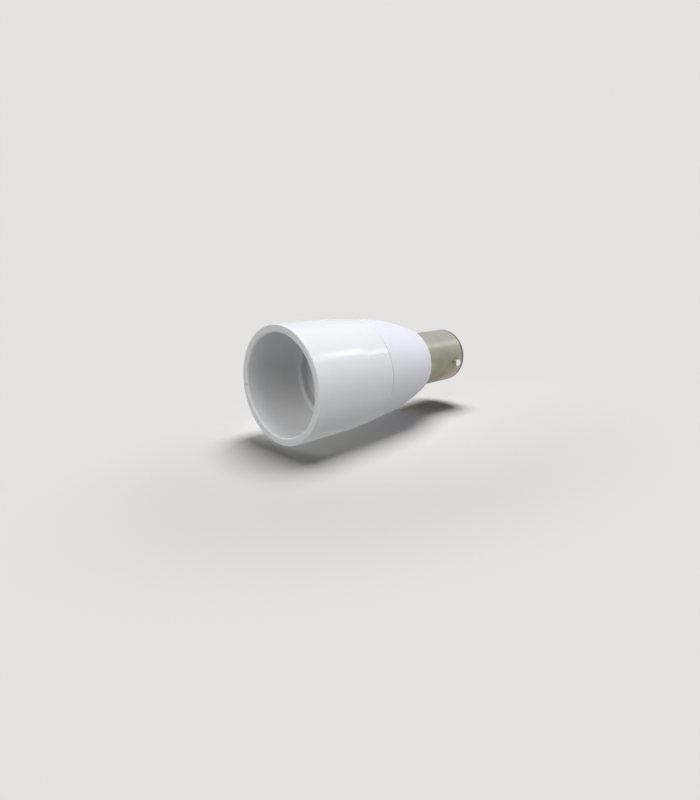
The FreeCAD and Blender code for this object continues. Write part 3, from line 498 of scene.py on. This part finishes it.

# Cap: brass sheet, deep drawn and nickel plated, the plate gone dull. Grey metal with soft reflections,
# brown clouds of tarnish, thickest low on its near side by the near pin, where their darkening is also a
# painted dark reflection of the shadowed floor, and lines along the draw. The lines are near 0.03 mm and
# drawn at 0.22 mm, and the film's spots, under 0.5 mm, at 1.3 mm, so that they show.
capLook = {
    "colour": "#CBCAC6", "tarnishColour": "#776A43", "tarnish": 0.8, "evenTarnish": 0.5,
    # tarnish thickest round this point, low on the near side, where the extra darkening is a painted dark
    # reflection
    "tarnishAndShadeCentre": polar(132, 7.5, 53), "tarnishAndShadeReachMm": 13.0,
    "patina": {"spotMm": 1.3, "cool": "#E4E8EC", "straw": "#FFF5DC", "amount": 0.35},
    # a dark gap at the foot of both pins, widened by painted contact shade round it, and two spots of painted
    # shadow beside the near one
    "markColour": "#4A3F2E",
    "marks": [(polar(90, 7.5, 58.5), 1.7, 0.6, 0.35), (polar(270, 7.5, 58.5), 1.7, 0.6, 0.35),
              (polar(87, 7.5, 57.0), 0.5, 0.3, 0.8), (polar(103, 7.5, 57.9), 0.5, 0.3, 0.8)],
    # painted shade along the rolled end, a dark band over its rounding
    "rings": [{"height": 62.9, "half": 1.0, "edge": 0.6, "amount": 0.85, "colour": "#45413A"}],
    "cloudMm": 8.0, "mottleMm": 2.6, "linePull": (1, 1, 0.06), "lineMm": 0.22,
    "lineDepthMm": 0.0015, "roughness": (0.30, 0.42),
}
dress(["bayonet_shell"], workedMetal("drawn brass, dull nickel plate", capLook))

# Pins: turned from brass rod, plated with the cap but rubbed clean by the holder, so brighter and sharper in
# gloss. Tool marks of 0.03 mm are drawn at 0.15 mm so that they show.
pinLook = {
    **capLook, "colour": "#FCFBF7", "tarnish": 0.08, "evenTarnish": 0.0,
    "patina": {**capLook["patina"], "amount": 0.05}, "marks": [], "rings": [],
    "linePull": (1, 1, 1), "lineMm": 0.15, "roughness": (0.2, 0.3),
}
dress(["bayonet_pin_near", "bayonet_pin_far"], workedMetal("turned brass, nickel plate", pinLook))

# Screw shell: thin sheet with the thread rolled in, bright nickel. Mirror-like, with lines round it from the
# rolls, near 0.03 mm and drawn at 0.2 mm so that they show.
shellLook = {
    "colour": "#C9C5BC", "tarnishColour": "#A79B80", "tarnish": 0.5, "cloudMm": 4.0, "mottleMm": 0.5,
    "linePull": (0.15, 0.15, 1), "lineMm": 0.2, "lineDepthMm": 0.001, "roughness": (0.18, 0.28),
}
dress(["screw_shell"], workedMetal("rolled sheet, bright nickel plate", shellLook))

# Contact leaf: rolled phosphor bronze strip. Warm reddish gold, darker in its clouds, with roll lines along
# the strip, near 0.03 mm and drawn at 0.15 mm so that they show.
leafLook = {
    "colour": "#C9A268", "tarnishColour": "#8F6E41", "tarnish": 0.6, "cloudMm": 2.5, "mottleMm": 0.4,
    "linePull": (0.1, 1, 1), "lineMm": 0.15, "lineDepthMm": 0.001, "roughness": (0.25, 0.36),
}
dress(["contact_leaf"], workedMetal("rolled phosphor bronze", leafLook))

# Eyelets: pressed brass. Yellower than the leaf, and their marks, drawn as coarse as its lines, run no one way.
eyeletLook = {**leafLook, "colour": "#D1B56C", "tarnishColour": "#8C7240", "linePull": (1, 1, 1)}
dress(["contact_eyelet_live", "contact_eyelet_neutral"], workedMetal("pressed brass", eyeletLook))

# Solder: tin solder, cooled from liquid. Plain grey, half bright, with the shallow dimples of 0.6 mm that it
# sets with.
solderLook = {
    "colour": "#B4B5B6", "tarnishColour": "#8A8B8B", "tarnish": 0.6, "cloudMm": 1.2, "mottleMm": 0.25,
    "linePull": (1, 1, 1), "lineMm": 0.6, "lineDepthMm": 0.01, "roughness": (0.22, 0.4),
}
dress(["tip_solder_live", "tip_solder_neutral", "leaf_solder", "tab_solder"],
      workedMetal("tin solder, cooled from liquid", solderLook))
print("metals on, materials:", len(bpy.data.materials))

# Witness lines of the two mould halves: low ridges across the band on both sides. Heights and sizes in mm.
witness = {
    "azimuths": (55.0, 235.0), "from": 18.1, "to": 24.2, "steps": 24, "width": 0.14, "height": 0.035,
    "foot": 0.02,                # how far the ridge's foot goes into the band
    "runIn": 0.25,               # share of its length over which the ridge rises, and falls again
    "castFrom": 40,              # outside the adapter, where the search for the band's skin starts
}


def surfaceTree(name):
    built = bmesh.new()
    built.from_mesh(nodes[name].data)
    found = BVHTree.FromBMesh(built)
    built.free()
    return found


def witnessLine(name, azimuth, skin):
    built = bmesh.new()
    outward = polar(azimuth, 1, 0).normalized()
    sideways = alongWay.cross(outward)
    half = sideways * witness["width"] / 2 * mm
    foot = outward * witness["foot"] * mm
    rows = []
    for step in range(witness["steps"] + 1):
        height = witness["from"] + (witness["to"] - witness["from"]) * step / witness["steps"]
        hit = skin.ray_cast(outward * witness["castFrom"] * mm + alongWay * height * mm, -outward)[0]
        done = step / witness["steps"]
        taper = min(1.0, done / witness["runIn"], (1 - done) / witness["runIn"])
        top = hit + outward * witness["height"] * taper * mm
        rows.append([built.verts.new(hit - half - foot), built.verts.new(top),
                     built.verts.new(hit + half - foot)])
    for first, second in zip(rows, rows[1:]):
        for side in range(3):
            following = (side + 1) % 3
            built.faces.new((first[side], first[following], second[following], second[side]))
    for row in (rows[0], rows[-1]):
        built.faces.new(row)
    bmesh.ops.recalc_face_normals(built, faces=built.faces)
    mesh = bpy.data.meshes.new(name)
    built.to_mesh(mesh)
    built.free()
    mesh.materials.append(sleevePlastic)
    item = bpy.data.objects.new(name, mesh)
    bpy.context.scene.collection.objects.link(item)
    linked["adapter"].objects.link(item)
    linked["plastic"].objects.link(item)
    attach(item, "holder")


bandSkin = surfaceTree("front_housing")
for side, azimuth in zip(("near", "far"), witness["azimuths"]):
    witnessLine("witness_line_" + side, azimuth, bandSkin)
print("witness lines laid")
